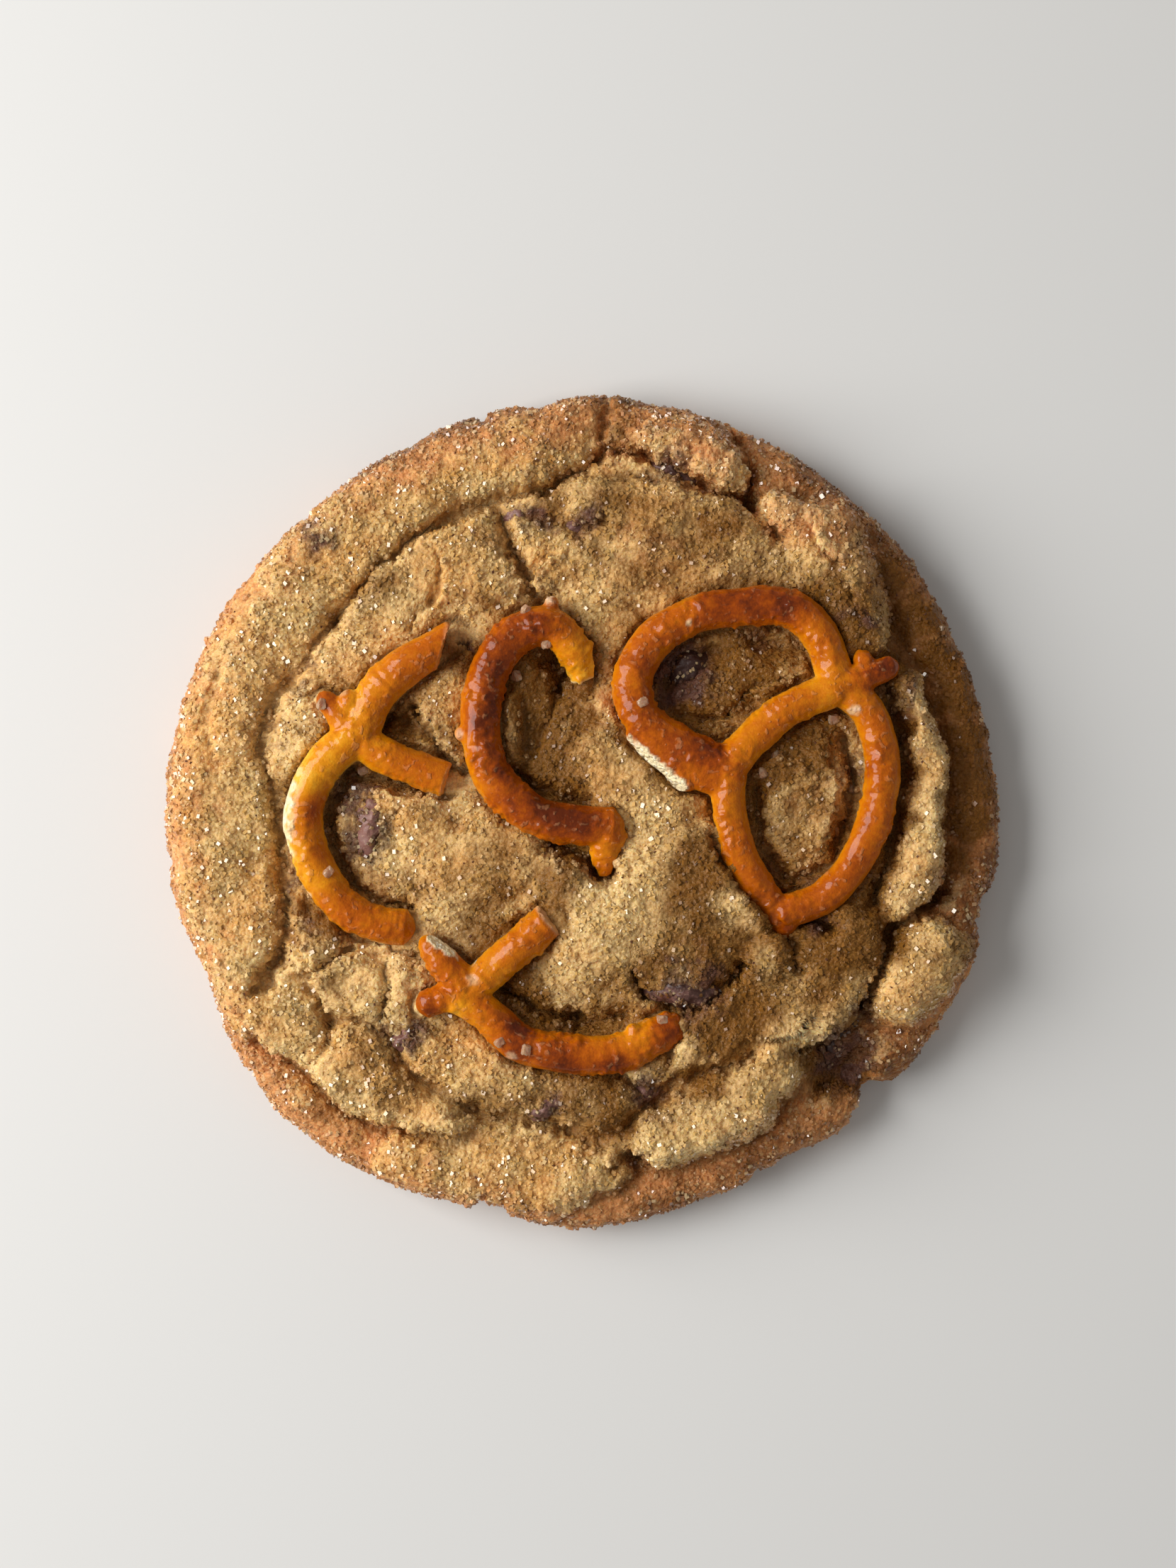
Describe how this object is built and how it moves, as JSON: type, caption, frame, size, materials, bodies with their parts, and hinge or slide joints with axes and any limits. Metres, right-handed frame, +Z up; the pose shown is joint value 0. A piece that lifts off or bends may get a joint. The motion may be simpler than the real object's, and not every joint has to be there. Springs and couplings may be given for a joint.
{
  "type": "snickerdoodle cookie",
  "caption": "Round soft cookie with a folded, sugar-crusted top, broken pretzel twists pressed into it and chocolate chips showing in its cracks.",
  "frame": {"origin": "middle of the bounding box, on the surface the cookie lies on", "axes": "+Z up out of the cookie's top, +X to the right and +Y away from the viewer as the picture shows it from above"},
  "size_m": [0.1005, 0.0998, 0.0149],
  "materials": {
    "dough": "baked sugar-crusted dough, satin",
    "pretzel": "glazed baked crust, glossy",
    "chocolate": "melted and reset chocolate, satin"
  },
  "bodies": {
    "root": {"dough": "dough", "pretzel_fork": "pretzel", "pretzel_crescent": "pretzel", "pretzel_knot": "pretzel", "pretzel_hook": "pretzel", "chocolate_chip_1": "chocolate", "chocolate_chip_2": "chocolate", "chocolate_chip_3": "chocolate", "chocolate_chip_4": "chocolate", "chocolate_chip_5": "chocolate", "chocolate_chip_6": "chocolate", "chocolate_chip_7": "chocolate", "chocolate_chip_8": "chocolate", "chocolate_chip_9": "chocolate", "chocolate_chip_10": "chocolate"}
  },
  "joints": []
}
